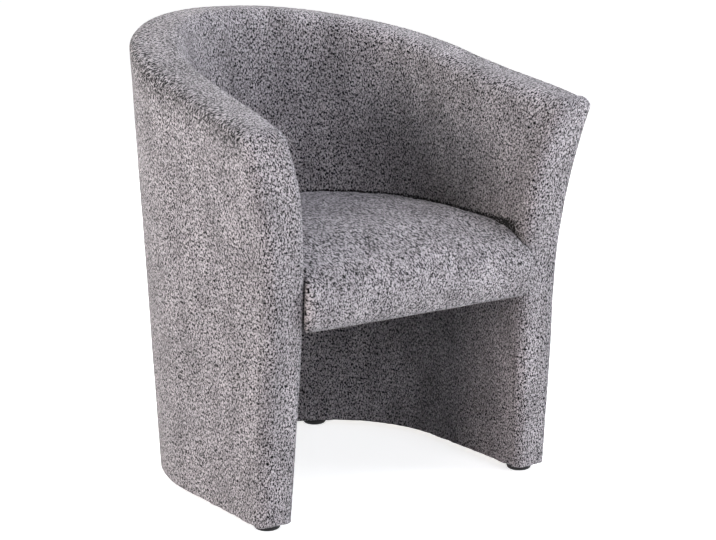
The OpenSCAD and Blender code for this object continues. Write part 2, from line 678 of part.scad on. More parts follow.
module webbing_across() {
    color("dimgray") bands(band_z, 0);
}
module webbing_lengthwise() {
    color("gray") bands(band_z + band_t + fit_gap, 90);
}
module seat_foam() {
    inset = cover_t + fit_gap;
    from = foam_z0 + fit_gap;
    rings = concat([seat_ring(foam_z0, inset, 0)],
        [for (z = side_levels(from)) seat_ring(z, inset, z >= seat_edge_height ? -inset : 0)],
        [for (k = crown_shares) crown_ring(k, inset)]);
    color("khaki") dome(rings, crown_top(inset), crown_middle() + [0, 0, foam_z0]);
}
module seat_roll_foam() {
    inset = cover_t + fit_gap;
    back_y = rail_front_y - fit_gap;
    top = foam_z0 - fit_gap;
    half = frame_point(seat_front_y, 0)[0] - seat_corner_r;
    front = concat([[seat_front(seat_underside, inset), rail_z0]],
        [for (z = side_levels(rail_z0)) if (z < top) [seat_front(z, inset), z]],
        [[seat_front(top, inset), top]]);
    color("khaki") rotate([90, 0, -90]) translate([0, 0, -half]) linear_extrude(2 * half)
        polygon(concat([[-back_y, rail_z0]], [for (q = front) [-q[0], q[1]]], [[-back_y, top]]));
}
module seat_cover() {
    levels = side_levels(seat_underside);
    function rings(inset) = concat(
        [seat_ring(seat_underside, hem_w + inset, inset)],
        [for (z = levels) seat_ring(z, inset, z <= seat_underside ? inset
                                              : z >= seat_edge_height ? -inset : 0)],
        [for (k = crown_shares) crown_ring(k, inset)]);
    color("darkgray") difference() {
        dome_shell(rings(0), crown_top(0), rings(cover_t), crown_top(cover_t));
        at_bolts() bolt_cut();
    }
}
module seat_lining() {
    color("black") translate([0, 0, seat_underside - staple_t - fit_gap - lining_t]) linear_extrude(lining_t)
        seat_plan(hem_w / 2);
}

// Fixings
module seat_bolts() {
    color("silver") at_bolts() {
        along_x(rail_inner_x - washer_t - bolt_head_h - fit_gap, bolt_head_r, bolt_head_h);
        along_x(rail_inner_x - washer_t - fit_gap, bolt_r, tee_x - rail_inner_x + washer_t);
    }
}
module seat_bolt_washers() {
    color("gray") at_bolts() difference() {
        along_x(rail_inner_x - washer_t, washer_r, washer_t);
        along_x(rail_inner_x - washer_t - cut_over, bolt_r + bolt_clear, washer_t + 2 * cut_over);
    }
}
module tee_nuts() {
    color("slategray") at_bolts() difference() {
        union() {
            along_x(tee_x - tee_flange_t, tee_flange_r, tee_flange_t);
            along_x(tee_x - tee_flange_t - tee_barrel_l, tee_barrel_r, tee_barrel_l + tee_flange_t);
        }
        along_x(tee_x - tee_flange_t - tee_barrel_l - cut_over, bolt_r + bolt_clear / 4,
                tee_barrel_l + tee_flange_t + 2 * cut_over);
    }
}
module foot_front_left() {
    color("black") translate(foot_place(false, true)) foot();
}
module foot_front_right() {
    color("black") translate(foot_place(true, true)) foot();
}
module foot_back_left() {
    color("black") translate(foot_place(false, false)) foot();
}
module foot_back_right() {
    color("black") translate(foot_place(true, false)) foot();
}
module foot_screws() {
    color("silver") at_feet() foot_screw(0);
}
module frame_screws() {
    color("goldenrod") at_screws() screw(0);
}
module hem_staples() {
    color("silver") translate([0, 0, wall_bottom - staple_t]) for (k = hem_staple_stops)
        for (depth = [hem_staple_d, wall_t(wall_bottom) - hem_staple_d]) {
            s = station(k, wall_bottom, 0);
            staple(plan_point(s, wall_bottom, depth), path_angle(s, depth));
        }
}
module seat_staples() {
    inset = hem_w * 0.75;
    color("silver") translate([0, 0, seat_underside - staple_t]) for (i = [1 : 2 : arc_steps - 1]) {
        s = 1 + 2 * i / arc_steps;
        staple(plan_point(s, seat_underside, frame_depth(inset)), path_angle(s, frame_depth(inset)));
    }
}

base_plate();
front_post_left();
front_post_right();
lower_studs();
seat_bearer();
upper_studs();
top_rail();
outer_board();
inner_board_upper();
inner_board_lower();
outer_wadding();
back_foam();
skirt_foam();
rim_foam();
arm_front_foam_left();
arm_front_foam_right();
outer_cover();
inner_cover();
arm_front_cover_left();
arm_front_cover_right();
seat_front_rail();
seat_side_rail_left();
seat_side_rail_right();
seat_back_rail();
seat_corner_blocks();
webbing_across();
webbing_lengthwise();
seat_foam();
seat_roll_foam();
seat_cover();
seat_lining();
seat_bolts();
seat_bolt_washers();
tee_nuts();
foot_front_left();
foot_front_right();
foot_back_left();
foot_back_right();
foot_screws();
frame_screws();
hem_staples();
seat_staples();
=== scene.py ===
import json
from math import copysign, cos, hypot, pi, radians, sin, sqrt

import bmesh
import bpy
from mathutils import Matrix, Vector, noise


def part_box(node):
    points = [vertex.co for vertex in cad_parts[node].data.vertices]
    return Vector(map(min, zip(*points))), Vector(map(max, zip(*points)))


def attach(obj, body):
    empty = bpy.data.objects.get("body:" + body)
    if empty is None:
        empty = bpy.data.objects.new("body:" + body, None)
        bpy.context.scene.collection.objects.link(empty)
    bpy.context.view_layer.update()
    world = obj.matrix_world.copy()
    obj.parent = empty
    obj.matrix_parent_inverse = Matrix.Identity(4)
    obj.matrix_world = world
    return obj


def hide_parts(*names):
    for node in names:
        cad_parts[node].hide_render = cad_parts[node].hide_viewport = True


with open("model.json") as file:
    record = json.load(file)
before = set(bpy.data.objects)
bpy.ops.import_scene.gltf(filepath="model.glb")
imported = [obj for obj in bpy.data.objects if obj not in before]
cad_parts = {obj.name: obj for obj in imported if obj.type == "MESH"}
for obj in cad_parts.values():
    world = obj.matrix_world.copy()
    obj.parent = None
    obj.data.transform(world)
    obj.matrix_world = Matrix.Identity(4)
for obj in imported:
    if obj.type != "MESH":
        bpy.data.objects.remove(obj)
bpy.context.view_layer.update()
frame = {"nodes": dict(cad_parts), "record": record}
scene = bpy.context.scene

# The picture: the chair is seen from its front left, a little from above, by a long lens
# from three and a half metres away. The small shift puts it where the picture has it.
picture_lens_mm, picture_film_mm = 101.62, 36
picture_shift = (0.0238, -0.0262)
camera_place = (-1.9236, -2.7620, 1.0987)
camera_tilt, camera_pan = 77.83, -35.54
camera_data = bpy.data.cameras.new("camera")
camera_data.lens = picture_lens_mm
camera_data.sensor_width = picture_film_mm
camera_data.shift_x, camera_data.shift_y = picture_shift
camera = bpy.data.objects.new("camera", camera_data)
camera.location = camera_place
camera.rotation_euler = (radians(camera_tilt), 0, radians(camera_pan))
scene.collection.objects.link(camera)
scene.camera = camera

# The outside of the wall: one length of looped furnishing cloth over thin wadding, drawn
# tight round the back and both arms, stapled under the base and sewn to the rim cover a
# little below the top. The cloth is a bouclé chenille of pale and dark grey yarns.
mm = 0.001
chair_height = 770 * mm
arm_height = 642 * mm
base_width = 580 * mm
arm_flare = 51 * mm
waist_height = 247 * mm
flare_power = 2.46
back_flare = 35 * mm
arm_run = 230 * mm
arm_rake = 44 * mm
back_run = 288 * mm
back_lean = 62 * mm
rim_power = 1.13
wall_thin = 60.5 * mm
wall_thick = 84 * mm
thick_from = 600 * mm
rim_round = 24 * mm
front_round = 18 * mm
wall_foot = 12 * mm
cloth_thick = 1.2 * mm
outside_pad = 5.5 * mm
hem_width = 18 * mm
seam_tuck = 2 * mm
hem_round = 4 * mm
stitch = 0.15 * mm
quarter_turn = (0, pi / 6, pi / 3, pi / 2)


def arm_half(z):
    """Half the width over the arm fronts at a height."""
    lean = max(z - waist_height, 0) / (arm_height - waist_height)
    return base_width / 2 + arm_flare * lean ** flare_power


def back_half(z):
    return base_width / 2 + back_flare * z / chair_height


def arm_reach(z):
    return arm_run + arm_rake * z / arm_height


def back_reach(z):
    return back_run + back_lean * z / chair_height


def wall_depth(z):
    """Thickness of the padded wall at a height."""
    return wall_thin + (wall_thick - wall_thin) * min(z / thick_from, 1)


outside_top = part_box("outer_cover")[1]
round_centre_y = outside_top.y - back_reach(outside_top.z)


def right_wall(m, z, depth):
    """A point in the right half of the wall: m is 0 at the arm front, 1 where the round back
    starts and 2 at the middle of the back."""
    run = Vector((back_half(z) - arm_half(z), arm_reach(z)))
    if m <= 1:
        outward = Vector((run.y, -run.x)).normalized() * (1 - m) + Vector((m, 0))
        at = Vector((arm_half(z), -arm_reach(z))) + run * m
    else:
        turn = (m - 1) * pi / 2
        outward = Vector((back_reach(z) * cos(turn), back_half(z) * sin(turn)))
        at = Vector((back_half(z) * cos(turn), back_reach(z) * sin(turn)))
    at -= outward.normalized() * depth
    return Vector((at.x, at.y + round_centre_y, z))


def wall_point(s, z, depth):
    """The same on both halves: s runs from 0 at the right arm's front to 4 at the left one's."""
    if s <= 2:
        return right_wall(s, z, depth)
    at = right_wall(4 - s, z, depth)
    return Vector((-at.x, at.y, at.z))


def front_station(back, z):
    return back / hypot(back_half(z) - arm_half(z), arm_reach(z))


def straight_rim(s):
    """Height of the wooden rim under its padding, which climbs from the arms to the back."""
    m = min(s, 4 - s)
    low, high = -arm_reach(arm_height), back_reach(chair_height)
    y = low * (1 - m) if m <= 1 else high * sin((m - 1) * pi / 2)
    climbed = max((y - low) / (high - low), 0) ** rim_power
    return arm_height + (chair_height - arm_height) * climbed


def share(value, start, end):
    """How far a value has come from start to end, from 0 to 1."""
    return min(max((value - start) / (end - start), 0), 1)


rim_lift, rim_sink, arm_swell = 3.5 * mm, 2.5 * mm, 2.6 * mm
sink_right, sink_left = (1.1, 1.55), (1.6, 2)
swell_rise, swell_fall = (0, 0.2), (0.65, 0.3)


def rim_height(s):
    """Height of the padded rim: the padding is fuller along the arms than round the back, and
    it reaches further round on the left."""
    m = min(s, 4 - s)
    swell = arm_swell * share(m, *swell_rise) * share(m, *swell_fall)
    sink = (rim_lift + rim_sink) * share(m, *(sink_right if s <= 2 else sink_left))
    return straight_rim(s) + rim_lift + swell - sink


shoulder_size, shoulder_less = (30 * mm, 16 * mm), (10 * mm, 3 * mm)
shoulder_tight = (1.1, 1.4)


def shoulder(s):
    """Depth and height of the rim's outer rounding, which is tighter round the back."""
    tight = share(min(s, 4 - s), *shoulder_tight)
    return [size - less * tight for size, less in zip(shoulder_size, shoulder_less)]


droop_most, droop_along, droop_across = 5 * mm, (0.13, 0), (45 * mm, 0)
droop_heights = (arm_height - 50 * mm, arm_height - 10 * mm)


def droop(s, z, depth):
    """How far the outer corner of an arm's top sinks at its front, where the padding is thin."""
    corner = share(min(s, 4 - s), *droop_along) * share(depth, *droop_across)
    return droop_most * corner * share(z, *droop_heights)


# How the padding has set: by how much, and over which heights and shares of the arm.
arm_length, round_length = 262 * mm, 1010 * mm
flared, flare_heights, outside_along = 7 * mm, (480 * mm, 630 * mm), (0.9, 0)
drawn_in, drawn_at, drawn_reach = 2.2 * mm, 400 * mm, 90 * mm
narrowed, narrow_heights, narrow_along = 12 * mm, (530 * mm, 615 * mm), (0.5, 0.07)
filled, full_heights, full_along, full_round = 8 * mm, (480 * mm, 600 * mm), (0, 0.75), (1.9, 1.2)
splayed, splay_heights = 3.5 * mm, (310 * mm, 220 * mm)
flat_dip, flat_end, dip_lean, dip_half = 1.1 * mm, 243 * mm, 14 * mm, 13 * mm
dip_from, dip_to = (60 * mm, 140 * mm), (640 * mm, 560 * mm)
left_dent, dent_along, dent_height, dent_reach = 1.6 * mm, 138 * mm, 465 * mm, 26 * mm


def fuller(s, z, depth):
    """Depth of a point of the cover once the padding has set: the arm flares a little more at
    its top, is narrower there at the front and fuller further back, and the cloth dips where
    the flat of the arm ends."""
    m = min(s, 4 - s)
    inside = share(depth, 0, wall_depth(z))
    drawn = drawn_in * max(0, 1 - abs(z - drawn_at) / drawn_reach)
    flare = (flared * share(z, *flare_heights) - drawn) * share(m, *outside_along)
    splay = splayed * share(z, *splay_heights) * share(m, *outside_along)
    narrow = narrowed * share(z, *narrow_heights) ** 1.2 * share(m, *narrow_along) ** 2
    full = filled * share(z, *full_heights) * share(m, *full_along) * share(m, *full_round)
    along = m * arm_length
    off_line = abs(along - flat_end + dip_lean * inside) / dip_half
    dip = flat_dip * share(z, *dip_from) * share(z, *dip_to) * max(0, 1 - off_line)
    if s > 2:
        off = hypot(along - dent_along, z - dent_height) / dent_reach
        dip += left_dent * max(0, 1 - off * off)
    return depth + (1 - inside) * (dip - splay - flare) + inside * (full - narrow)


cell = 8 * mm
tuck_steps = [0, 0.3 * mm, 1.2 * mm, 4 * mm, 8 * mm, 14 * mm]
tuck_sinks = [seam_tuck, 0.6 * mm, 0.05 * mm]
arm_cells = round((arm_length - front_round - tuck_steps[-1]) / cell)
round_cells = round(round_length / cell)
arm_share = [x / arm_length for x in tuck_steps]
arm_share += [arm_share[-1] + (1 - arm_share[-1]) * (i + 1) / arm_cells for i in range(arm_cells)]
stations = arm_share[:-1] + [1 + 2 * i / round_cells for i in range(round_cells)]
stations += [4 - s for s in reversed(arm_share)]


def from_seam(column, z):
    """Where a column of the cloth's cells runs at a height: the first one is sewn to the
    front strip."""
    s = stations[column]
    m = min(s, 4 - s)
    if m < 1:
        start = front_station(front_round, z)
        m = start + (1 - start) * m
    return m if s <= 2 else 4 - m


def hem(depth, turn):
    """The cloth turned in under the base: from depth towards the wall's face, turn is 1 on
    the outside and -1 on the inside."""
    flat = [(depth + turn * hem_width * x, wall_foot) for x in (1, 0.6, 0.35)]
    bend = [(depth + turn * hem_round * (1 - sin(a)), wall_foot + hem_round * (1 - cos(a)))
            for a in quarter_turn]
    return flat + bend


lowest_row = wall_foot + hem_round
outside_rows, hidden_rows = round(650 * mm / cell), 10


def upright(depth, low, high):
    """Hidden side of a pad, which follows the curve of the wall from low to high."""
    return [(depth, low + (high - low) * i / hidden_rows) for i in range(hidden_rows + 1)]


def outside_section(s):
    """The closed outline of the outside cover and its wadding at a station, as depths and
    heights, and how many of its points show."""
    seam = rim_height(s) - shoulder(s)[1]
    face_high = seam - seam_tuck - lowest_row
    face = [(0, lowest_row + face_high * i / outside_rows) for i in range(1, outside_rows)]
    tuck = [(seam_tuck * (1 - sin(a)), seam - seam_tuck * (1 - cos(a)) - stitch)
            for a in reversed(quarter_turn)]
    behind = upright(outside_pad, seam - stitch, wall_foot + cloth_thick)
    seen = hem(0, 1) + face + tuck
    return seen + behind + [(hem_width, wall_foot + cloth_thick)], len(seen)


def lay_cloth(columns, rows, place):
    """A flat grid of cloth laid over the form cell by cell; its own flat lengths stay with it
    as a map."""
    bm = bmesh.new()
    bmesh.ops.create_grid(bm, x_segments=columns, y_segments=rows, size=1)
    cells = {v: (round((v.co.x + 1) / 2 * columns), round((v.co.y + 1) / 2 * rows))
             for v in bm.verts}
    at = {c: place(*c) for c in cells.values()}
    middle = (columns // 2, rows // 2)
    across, along = [0], [0]
    for i in range(columns):
        across.append(across[-1] + (at[i + 1, middle[1]] - at[i, middle[1]]).length)
    for j in range(rows):
        along.append(along[-1] + (at[middle[0], j + 1] - at[middle[0], j]).length)
    flat = bm.loops.layers.uv.new("cloth")
    for face in bm.faces:
        for corner in face.loops:
            i, j = cells[corner.vert]
            corner[flat].uv = (across[i], along[j])
    for v, c in cells.items():
        v.co = at[c]
    return bm


sewing = 0.02 * mm


def sewn(bm):
    """Sews the edges of the cloth that lie on each other."""
    bmesh.ops.remove_doubles(bm, verts=bm.verts, dist=sewing)
    bmesh.ops.recalc_face_normals(bm, faces=bm.faces)
    return bm


def closed(bm, facing):
    """Closes what is still open in a pad, so that it is a solid; its openings face that way."""
    ends = [e for e in bm.edges if e.is_boundary]
    bmesh.ops.triangle_fill(bm, use_beauty=True, use_dissolve=False, edges=ends, normal=facing)
    bmesh.ops.recalc_face_normals(bm, faces=bm.faces)
    return bm


def wall_pad(section):
    """A cover of the wall with what lies under it: a closed pad from one arm front round the
    back to the other. Its ends curl in to the seams of the front strips."""
    sections = [section(s) for s in stations]
    rows = len(sections[0][0])
    last = len(stations) - 1

    def place(i, j):
        outline, seen = sections[i]
        depth, z = outline[j % rows]
        ends = min(i, last - i)
        if ends < len(tuck_sinks) and j % rows < seen:
            ahead, behind = outline[(j + 1) % rows], outline[j % rows - 1]
            along = Vector((ahead[0] - behind[0], ahead[1] - behind[1])).normalized()
            depth += along.y * tuck_sinks[ends]
            z -= along.x * tuck_sinks[ends]
        at = from_seam(i, z)
        if j % rows >= seen:
            return wall_point(at, z, depth)
        return wall_point(at, z, fuller(at, z, depth)) - Vector((0, 0, droop(at, z, depth)))

    return sewn(lay_cloth(last, rows, place))


def as_piece(name, bm):
    mesh = bpy.data.meshes.new(name)
    bm.to_mesh(mesh)
    bm.free()
    mesh.shade_smooth()
    piece = bpy.data.objects.new(name, mesh)
    scene.collection.objects.link(piece)
    return piece


def worked(piece, kind, **settings):
    """Runs one modifier on a piece and keeps its result."""
    step = piece.modifiers.new(kind, kind)
    for name, value in settings.items():
        setattr(step, name, value)
    bpy.context.view_layer.update()
    seen = piece.evaluated_get(bpy.context.evaluated_depsgraph_get())
    mesh = bpy.data.meshes.new_from_object(seen)
    piece.modifiers.clear()
    piece.data = mesh
    mesh.shade_smooth()
    return piece


def smooth_pad(name, bm):
    """A pad from its open grid: made twice as fine, then closed at its ends."""
    piece = worked(as_piece(name, bm), "SUBSURF", levels=1, render_levels=1,
                   use_limit_surface=False)
    bm = bmesh.new()
    bm.from_mesh(piece.data)
    closed(bm, (0, -1, 0)).to_mesh(piece.data)
    bm.free()
    return piece


lump_length, loop_length, wave_length = 70 * mm, 5 * mm, 22 * mm
wave_top = 45 * mm
wall_lump, loop_relief, hem_wave = 0.5 * mm, 0.5 * mm, 2.2 * mm


def lie(piece, lump, loop, wave=0):
    """The unevenness of cloth over padding, lump deep, of its loops of yarn, loop deep, and of
    its stapled hem, which hangs in waves."""
    normals = [v.normal.copy() for v in piece.data.vertices]
    for v, out in zip(piece.data.vertices, normals):
        wide = noise.noise(v.co / lump_length)
        fine = noise.noise(v.co / loop_length)
        hang = wave * max(0, noise.noise(v.co / wave_length)) * share(v.co.z, wave_top, wall_foot)
        v.co += out * (lump * wide + loop * fine) - Vector((0, 0, hang))


def linear(code):
    """An sRGB colour as #rrggbb, turned to the linear colour that a shader takes."""
    parts = [int(code[i:i + 2], 16) / 255 for i in (1, 3, 5)]
    return [c / 12.92 if c <= 0.04045 else ((c + 0.055) / 1.055) ** 2.4 for c in parts] + [1]


def add(tree, kind, feeds=None, values=None, **settings):
    """One node, with its settings, its values and the sockets that feed it."""
    made = tree.nodes.new("ShaderNode" + kind)
    for name, value in settings.items():
        setattr(made, name, value)
    for socket, value in (values or {}).items():
        made.inputs[socket].default_value = value
    for socket, source in (feeds or {}).items():
        tree.links.new(source, made.inputs[socket])
    return made


def finish_of(name, **values):
    """A material with its main shader, ready for its pattern."""
    made = bpy.data.materials.new(name)
    made.use_nodes = True
    tree = made.node_tree
    shader = tree.nodes["Principled BSDF"]
    for socket, value in values.items():
        shader.inputs[socket.replace("_", " ")].default_value = value
    return made, tree, shader


pale_yarn, dark_yarn = "#bab3b5", "#0e0d0e"
yarn_edge = {"From Min": 0.435, "From Max": 0.56}
yarn_high = 0.9 * mm
patch_size = (46 * mm, 110 * mm, 46 * mm)
patch_tone = {"From Min": 0.3, "From Max": 0.7, "To Min": 0.82, "To Max": 1.14}
# Painted shade: a darker band of the cloth along the rim's bend, full within bend_near of it and
# gone by bend_far, and a darker strip in the crease over the seat. Both show less of the pale yarn.
bend_near, bend_far, bend_shade = 6 * mm, 44 * mm, 0.04
crease_over, crease_under, crease_foot, crease_shade = 4 * mm, 2 * mm, 8 * mm, 0.18
crease_start, crease_full = 12 * mm, 60 * mm


def looped_cloth(name, loop, map_name="UV", bend_at=None, crease=None):
    """Bouclé chenille, woven: plump loops of pale yarn over a dark ground, each about two
    millimetres wide and twice as long, dull, with a faint bloom at grazing light and soft
    patches where the pile lies another way. Where the cloth bends over the rim, bend_at along
    it, a band is painted darker: painted shade. In a crease, from its level down to its foot
    and from its start backwards, it is painted darker as well: painted shade in the crease."""
    made, tree, shader = finish_of(name, Roughness=0.95, Specular_IOR_Level=0.2,
                                   Sheen_Weight=0.12, Sheen_Roughness=0.45)
    space = "2D" if map_name == "UV" else "3D"
    place = add(tree, "TexCoord")
    loops = add(tree, "Mapping", {"Vector": place.outputs[map_name]},
                {"Scale": [1 / size for size in loop]})
    yarn = add(tree, "TexNoise", {"Vector": loops.outputs["Vector"]},
               {"Scale": 1, "Detail": 1, "Roughness": 0.5, "Distortion": 0.8},
               noise_dimensions=space)
    yarn_and_shade = yarn.outputs["Fac"]
    # Painted shade: a band along the rim's bend shows less of the pale yarn, so it is darker.
    if bend_at is not None:
        along = add(tree, "SeparateXYZ", {0: place.outputs["UV"]})
        beyond = add(tree, "Math", {0: along.outputs["Y"]}, {1: bend_at}, operation="SUBTRACT")
        off = add(tree, "Math", {0: beyond.outputs[0]}, operation="ABSOLUTE")
        bend_band = add(tree, "MapRange", {"Value": off.outputs[0]},
                     {"From Min": bend_near, "From Max": bend_far,
                      "To Min": bend_shade, "To Max": 0}, interpolation_type="SMOOTHSTEP")
        bend_shaded = add(tree, "Math", {0: yarn_and_shade, 1: bend_band.outputs[0]}, operation="SUBTRACT")
        yarn_and_shade = bend_shaded.outputs[0]
    # Painted shade: from just above the seat's top down to its underside, and from a little behind
    # the arm fronts backwards, the cloth shows less of the pale yarn, so the crease looks dark.
    if crease:
        level, foot, start = crease
        at = add(tree, "SeparateXYZ", {0: place.outputs["Object"]})
        crease_mask = None
        for axis, free, flat in (("Z", level + crease_over, level - crease_under),
                                 ("Z", foot, foot + crease_foot),
                                 ("Y", start + crease_start, start + crease_full)):
            part = add(tree, "MapRange", {"Value": at.outputs[axis]},
                       {"From Min": free, "From Max": flat}, interpolation_type="SMOOTHSTEP")
            crease_mask = part if crease_mask is None else add(
                tree, "Math", {0: crease_mask.outputs[0], 1: part.outputs[0]}, operation="MULTIPLY")
        crease_darkening = add(tree, "Math", {0: crease_mask.outputs[0]}, {1: crease_shade}, operation="MULTIPLY")
        wear_and_shade = add(tree, "Math", {0: yarn_and_shade, 1: crease_darkening.outputs[0]}, operation="SUBTRACT")
        yarn_and_shade = wear_and_shade.outputs[0]
    crisp = add(tree, "MapRange", {"Value": yarn_and_shade}, yarn_edge)
    wide = add(tree, "Mapping", {"Vector": place.outputs[map_name]},
               {"Scale": [1 / size for size in patch_size]})
    patch = add(tree, "TexNoise", {"Vector": wide.outputs["Vector"]},
                {"Scale": 1, "Detail": 2, "Roughness": 0.5}, noise_dimensions=space)
    mottle = add(tree, "MapRange", {"Value": patch.outputs["Fac"]}, patch_tone)
    colour = add(tree, "Mix", {0: crisp.outputs["Result"]},
                 {6: linear(dark_yarn), 7: linear(pale_yarn)}, data_type="RGBA")
    toned = add(tree, "VectorMath", {0: colour.outputs[2], "Scale": mottle.outputs["Result"]},
                operation="SCALE")
    tree.links.new(toned.outputs["Vector"], shader.inputs["Base Color"])
    bump = add(tree, "Bump", {"Height": crisp.outputs["Result"]},
               {"Strength": 0.9, "Distance": yarn_high})
    tree.links.new(bump.outputs["Normal"], shader.inputs["Normal"])
    return made


def dress(piece, finish, slot_name, *nodes):
    """Gives a piece its finish and hides the parts that it stands for; slot_name is not used."""
    piece.data.materials.clear()
    piece.data.materials.append(finish)
    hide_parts(*nodes)
    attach(piece, "root")


outside_loop = (2.6 * mm, 4 * mm, 4 * mm)
middle_outline, middle_seen = outside_section(2)
seam_along = sum(hypot(b[0] - a[0], b[1] - a[1])
                 for a, b in zip(middle_outline, middle_outline[1:middle_seen]))
# bend_at puts the painted shade band along the seam at the rim's outer top.
outside_finish = looped_cloth("boucle_outside", outside_loop, bend_at=seam_along)
outside = smooth_pad("wall_outside", wall_pad(outside_section))
lie(outside, wall_lump, loop_relief, hem_wave)
dress(outside, outside_finish, "cover_outer", "outer_cover", "outer_wadding")

# The inside of the wall: the same cloth over 20 to 40 mm of foam on the bent boards, drawn
# over the foam roll of the rim and down to the floor between the arms, where it is turned
# in and stapled. It lies flat on the seat bearer, to which the seat is bolted.
foam_from = 42.7 * mm
bearer_from, bearer_to = 317.8 * mm, 378.3 * mm
plate_to = 31.7 * mm
pad_clear, top_clear = 0.3 * mm, 0.5 * mm
skin = cloth_thick + 0.1 * mm
inside_rows = round(560 * mm / cell)
rim_bend = [radians(a) for a in (12, 26, 42, 58, 74, 90)]
inside_loop = (2.1 * mm, 3.7 * mm, 3.7 * mm)


def rail_top(s):
    return straight_rim(s) - rim_round


def inside_section(s):
    """The closed outline of the inside cover and the foam under it, as the outside has one: over
    the rim, down the face, round the hem and back up past the frame's timbers."""
    top = rim_height(s)
    shoulder_deep, shoulder_high = shoulder(s)
    seam, inner = top - shoulder_high, top - rim_round
    t = wall_depth(inner)
    over = [(seam_tuck * (1 - sin(a)), seam + seam_tuck * (1 - cos(a)) + stitch)
            for a in quarter_turn]
    over += [(shoulder_deep * (1 - cos(a)), seam + shoulder_high * sin(a)) for a in rim_bend[1:]]
    flat = t - rim_round - shoulder_deep
    over += [(shoulder_deep + flat * i / 4, top) for i in range(1, 4)]
    over += [(t - rim_round * (1 - cos(a)), inner + rim_round * sin(a)) for a in reversed(rim_bend)]
    levels = [inner + (lowest_row - inner) * i / inside_rows for i in range(inside_rows)]
    face = [(wall_depth(z), z) for z in levels]
    foot = [(wall_depth(z) + d, z) for d, z in reversed(hem(0, -1))]
    rail = rail_top(s) + top_clear
    behind = [(wall_depth(wall_foot) - hem_width, wall_foot + cloth_thick),
              (wall_depth(wall_foot) - skin, wall_foot + cloth_thick),
              (wall_depth(plate_to) - skin, plate_to)]
    behind += upright(foam_from, plate_to, bearer_from)
    behind += [(wall_depth(z) - skin, z) for z in (bearer_from, bearer_to)]
    behind += upright(foam_from, bearer_to, rail)
    behind += [(outside_pad + pad_clear, z) for z in (rail, seam + stitch)]
    seen = over + face + foot
    return seen + behind, len(seen)


seat_under, seat_top = 318 * mm, 440 * mm
# The inside cover gets painted shade along its seam at the rim and in the crease over the seat.
seat_crease = (seat_top, seat_under, right_wall(0, seat_top, 0).y)
inside_finish = looped_cloth("boucle_inside", inside_loop, bend_at=0, crease=seat_crease)
inside = smooth_pad("wall_inside", wall_pad(inside_section))
lie(inside, wall_lump, loop_relief, hem_wave)
dress(inside, inside_finish, "cover_inner", "inner_cover", "back_foam", "skirt_foam", "rim_foam")

# The arm fronts: a strip of the cloth over 20 mm of foam on each front post, sewn to the
# outside and inside covers 18 mm behind its face, so that the seams lie on the sides of
# the arm. It rounds over the edges and the top, and is turned in under the base.
strip_steps = [x * mm for x in (0, 0.6, 2, 4.4, 7.5, 11, 14.5, 18, 24, 31)]
strip_half = 38 * mm
strip_lump = 0.4 * mm
front_loop = (2 * mm, 3.5 * mm, 3.5 * mm)
strip_sinks = [(seam_tuck, front_round - stitch), (0.6 * mm, front_round - 0.45 * mm)]
strip_rise = front_round - 1.2 * mm
climb_high = 80 * mm
arm_top = rim_height(0)
shoulder_deep, shoulder_high = shoulder(0)
side_columns = [(-1, k) for k in (0, 1)] + [(x / strip_half - 1, None) for x in strip_steps]
strip_columns = side_columns + [(0, None)] + [(-a, k) for a, k in reversed(side_columns)]
strip_rows = [(wall_foot, f, None) for f in (1, 0.7, 0.4)]
strip_rows += [(wall_foot + hem_round * (1 - cos(a)),
                hem_round * (1 - sin(a)) / front_round, None) for a in quarter_turn]
strip_high = arm_top - rim_round - lowest_row
strip_count = round(strip_high / cell)
strip_rows += [(lowest_row + strip_high * i / strip_count, 0, None) for i in range(1, strip_count)]
strip_rows += [(arm_top - rim_round * (1 - x), 0, None)
               for x in (0, 0.17, 0.34, 0.48, 0.6, 0.7, 0.79, 0.87, 0.93, 0.98, 1)]
strip_rows += [(arm_top, 0, k) for k in (1, 0)]


def strip_sides(z):
    """Depths of the strip's outer and inner edges at a height, drawn in at its rounded top."""
    up = share(z, arm_top - shoulder_high, arm_top)
    over = share(z, arm_top - rim_round, arm_top)
    t = wall_depth(min(z, arm_top - rim_round))
    return shoulder_deep * (1 - sqrt(1 - up * up)), t - rim_round * (1 - sqrt(1 - over * over))


def strip_edge(depth, z):
    """How far a point of the strip is from the nearest edge, and which way is inwards."""
    t = wall_depth(min(z, arm_top - rim_round))
    outer = depth < t / 2
    across, way = (depth, 1) if outer else (t - depth, -1)
    deep, high = (shoulder_deep, shoulder_high) if outer else (rim_round, rim_round)
    below = arm_top - z
    if across < deep and below < high:
        u, v = 1 - across / deep, 1 - below / high
        r = hypot(u, v)
        radius = (deep * u * u + high * v * v) / (r * r)
        return radius * (1 - r), Vector((way * u / deep, -v / high)).normalized()
    if below < across:
        return below, Vector((0, -1))
    return across, Vector((way, 0))


def strip_place(i, j):
    """A point of the right arm's front strip, column i across it and row j up it."""
    a, side_sink = strip_columns[i]
    z, under, top_sink = strip_rows[j]
    low, high = strip_sides(z)
    depth = low + (high - low) * (a + 1) / 2
    edge, inward = strip_edge(depth, z)
    edge = min(max(edge, 0), front_round)
    back = strip_rise * (1 - sqrt(1 - (1 - edge / front_round) ** 2))
    sinks = [k for k in (side_sink, top_sink) if k is not None]
    if sinks:
        sink, back = strip_sinks[min(sinks)]
        depth, z = depth + inward.x * sink, z + inward.y * sink
    back += (front_round - back) * under
    at = front_station(back, z)
    climb = (rim_height(at) - arm_top) * share(z, arm_top - climb_high, arm_top)
    return wall_point(at, z + climb, fuller(at, z, depth)) - Vector((0, 0, droop(at, z, depth)))


